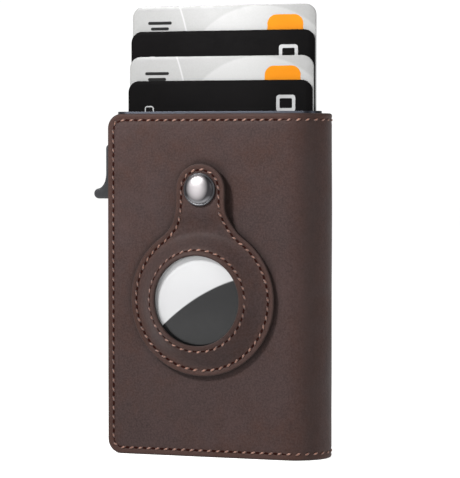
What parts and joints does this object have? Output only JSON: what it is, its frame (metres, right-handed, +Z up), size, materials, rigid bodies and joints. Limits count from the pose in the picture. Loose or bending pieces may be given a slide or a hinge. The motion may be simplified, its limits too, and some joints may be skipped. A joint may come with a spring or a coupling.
{
  "type": "card wallet with bluetooth tracker tag",
  "caption": "Slim pop-up card wallet in dark leather, with a round Bluetooth tracker tag in a snap-strap holder on its front and cards fanned from an aluminium case.",
  "frame": {"origin": "on the flat underside of the card case's end cap, where the closed wallet stands, midway between the front and back leather faces", "axes": "+X from the free edge to the spine, +Y from the front cover to the back cover, +Z up, the way the cards come out"},
  "size_m": [0.0694, 0.0259, 0.124],
  "materials": {
    "leather": "dark brown waxed leather, matte with soft sheen",
    "thread": "copper-brown waxed stitching thread",
    "lining": "fine grained dark lining",
    "board": "pressed fibre board",
    "case_metal": "black anodised, satin",
    "black_plastic": "moulded, satin",
    "felt": "pressed felt",
    "polished_steel": "mirror polished",
    "snap_metal": "gunmetal plating, glossy",
    "magnet_metal": "nickel plated",
    "white_plastic": "gloss white",
    "grey_plastic": "moulded",
    "circuit": "green solder mask",
    "chip": "moulded package",
    "copper": "bright copper",
    "foam": "closed cell foam",
    "light_card": "satin printed card",
    "dark_card": "satin printed card",
    "card_accent": "amber printed mark",
    "card_print": "silver grey printed mark"
  },
  "bodies": {
    "root": {"back_cover_leather": "leather", "back_lining": "lining", "note_pocket_leaf": "lining", "case_tube": "case_metal", "case_end_cap": "black_plastic", "ejector_pivot_pin": "snap_metal", "felt_strip_front": "felt", "felt_strip_back": "felt", "magnet_keeper": "magnet_metal"},
    "spine": {"spine_leather": "leather", "spine_lining": "lining"},
    "front_cover": {"front_cover_leather": "leather", "front_core_board": "board", "front_lining": "lining", "closure_magnet": "magnet_metal", "card_pocket_upper": "leather", "card_pocket_lower": "leather", "holder_ring": "leather", "tag_window_liner": "lining", "snap_stud": "snap_metal", "snap_rivet": "snap_metal"},
    "strap": {"holder_strap": "leather", "snap_cap": "snap_metal", "snap_socket": "snap_metal"},
    "tag": {"tag_shell": "white_plastic", "tag_battery_tray": "grey_plastic", "tag_coin_cell": "magnet_metal", "tag_circuit_board": "circuit", "tag_antenna_loop": "copper", "tag_speaker_magnet": "magnet_metal", "tag_voice_coil": "copper", "tag_radio_chip": "chip", "tag_ranging_chip": "chip", "tag_motion_sensor": "chip", "tag_contact_minus": "copper", "tag_contact_plus": "copper"},
    "tag_lid": {"tag_battery_cover": "polished_steel", "tag_cover_pad": "foam"},
    "slider": {"slider_carriage": "black_plastic", "slider_thumb_tab": "black_plastic"},
    "ejector": {"ejector_arm": "black_plastic"},
    "card_1": {"card_1": "dark_card"},
    "card_2": {"card_2": "light_card"},
    "card_3": {"card_3": "dark_card"},
    "card_4": {"card_4": "light_card"}
  },
  "joints": [
    {"name": "spine_hinge", "type": "hinge", "parent": "root", "child": "spine", "pos_m": [0.02845, 0.00785, 0.047], "axis": [0, 0, 1], "range_deg": [0, 90]},
    {"name": "cover_hinge", "type": "hinge", "parent": "spine", "child": "front_cover", "pos_m": [0.02845, -0.00785, 0.047], "axis": [0, 0, 1], "range_deg": [0, 90]},
    {"name": "strap_hinge", "type": "hinge", "parent": "front_cover", "child": "strap", "pos_m": [-0.0026, -0.0115, 0.0627], "axis": [1, 0, 0], "range_deg": [0, 110]},
    {"name": "tag_spin", "type": "hinge", "parent": "front_cover", "child": "tag", "pos_m": [-0.0026, -0.01, 0.0431], "axis": [0, -1, 0], "continuous": true},
    {"name": "tag_lid_twist", "type": "hinge", "parent": "tag", "child": "tag_lid", "pos_m": [-0.0026, -0.0135, 0.0431], "axis": [0, -1, 0], "range_deg": [0, 20]},
    {"name": "card_slider", "type": "slide", "parent": "root", "child": "slider", "axis": [0, 0, 1], "range_m": [-0.031, 0]},
    {"name": "ejector_pivot", "type": "hinge", "parent": "root", "child": "ejector", "pos_m": [0.0235, 0.001, 0.0058], "axis": [0, 1, 0], "range_deg": [-37, 0]},
    {"name": "card_1_lift", "type": "slide", "parent": "root", "child": "card_1", "axis": [0, 0, 1], "range_m": [-0.0096, 0]},
    {"name": "card_2_lift", "type": "slide", "parent": "root", "child": "card_2", "axis": [0, 0, 1], "range_m": [-0.0163, 0]},
    {"name": "card_3_lift", "type": "slide", "parent": "root", "child": "card_3", "axis": [0, 0, 1], "range_m": [-0.0234, 0]},
    {"name": "card_4_lift", "type": "slide", "parent": "root", "child": "card_4", "axis": [0, 0, 1], "range_m": [-0.0304, 0]}
  ],
  "couplings": [
    {"joint": "cover_hinge", "follows": "spine_hinge", "ratio": 1},
    {"joint": "ejector_pivot", "follows": "card_slider", "rad_per_m": 20.83},
    {"joint": "card_1_lift", "follows": "card_slider", "ratio": 0.3096},
    {"joint": "card_2_lift", "follows": "card_slider", "ratio": 0.5258},
    {"joint": "card_3_lift", "follows": "card_slider", "ratio": 0.7548},
    {"joint": "card_4_lift", "follows": "card_slider", "ratio": 0.9806}
  ]
}
